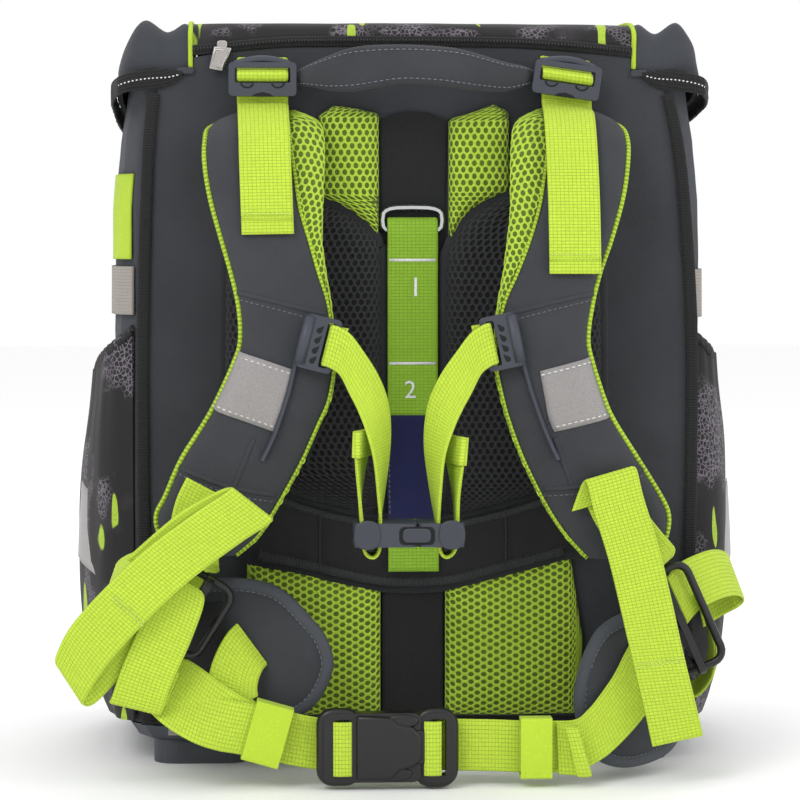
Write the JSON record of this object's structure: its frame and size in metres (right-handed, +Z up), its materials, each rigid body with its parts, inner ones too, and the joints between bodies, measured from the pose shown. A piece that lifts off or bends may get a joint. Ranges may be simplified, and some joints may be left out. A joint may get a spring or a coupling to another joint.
{
  "type": "school ransel",
  "caption": "Box-shaped school ransel in grey and black with lime webbing, mesh padding, chest strap and padded hip belt.",
  "frame": {"origin": "under the middle of the whole object, on the ground that its feet stand on", "axes": "+Z up towards the lid, -Y towards the harness side with the shoulder straps, +Y towards the lid's flap, +X to the right as the harness side is seen"},
  "size_m": [0.343, 0.3016, 0.37],
  "materials": {
    "grey_fabric": "matte",
    "black_fabric": "matte",
    "print_fabric": "matte",
    "lime_webbing": "matte",
    "centre_webbing": "matte",
    "lime_mesh": "matte",
    "black_mesh": "matte",
    "side_webbing": "matte",
    "slate_plastic": "satin",
    "black_plastic": "satin",
    "base_plastic": "satin",
    "ring_steel": "satin"
  },
  "bodies": {
    "root": {"bag_shell": "grey_fabric", "back_panel": "grey_fabric", "base_tray": "base_plastic", "lid": "print_fabric", "lumbar_panel": "black_fabric", "lumbar_band": "black_fabric", "centre_channel": "black_fabric", "adjuster_web": "centre_webbing", "adjuster_ring": "ring_steel", "carry_handle": "grey_fabric", "back_binding_left": "black_fabric", "back_binding_right": "black_fabric", "lid_wing_left": "grey_fabric", "lid_wing_right": "grey_fabric", "wing_hem_left": "black_fabric", "wing_hem_right": "black_fabric", "side_pocket_left": "print_fabric", "side_pocket_right": "print_fabric", "side_web_left": "side_webbing", "side_web_right": "side_webbing", "back_pad_left": "black_mesh", "back_pad_right": "black_mesh", "yoke_pad_left": "lime_mesh", "yoke_pad_right": "lime_mesh", "lumbar_pad_left": "lime_mesh", "lumbar_pad_right": "lime_mesh", "strap_cover_left": "grey_fabric", "strap_cover_right": "grey_fabric", "strap_lining_left": "lime_mesh", "strap_lining_right": "lime_mesh", "lift_web_left": "lime_webbing", "lift_web_right": "lime_webbing", "lift_buckle_left": "slate_plastic", "lift_buckle_right": "slate_plastic", "chest_rail_left": "slate_plastic", "chest_rail_right": "slate_plastic", "chest_slider_left": "slate_plastic", "chest_slider_right": "slate_plastic", "chest_web_left": "lime_webbing", "chest_web_right": "lime_webbing", "chest_buckle_left": "slate_plastic", "chest_buckle_right": "slate_plastic", "hip_fin_left": "grey_fabric", "hip_fin_right": "grey_fabric", "hip_web_left": "lime_webbing", "hip_web_right": "lime_webbing", "hip_tail_left": "lime_webbing", "hip_tail_right": "lime_webbing", "hip_keeper_left": "lime_webbing", "hip_keeper_right": "lime_webbing", "hip_buckle_left": "black_plastic", "hip_buckle_right": "black_plastic", "lower_web_left": "lime_webbing", "lower_web_right": "lime_webbing", "lower_tail_left": "lime_webbing", "lower_tail_right": "lime_webbing", "anchor_web_left": "lime_webbing", "anchor_web_right": "lime_webbing", "ladder_lock_left": "black_plastic", "ladder_lock_right": "black_plastic"}
  },
  "joints": []
}
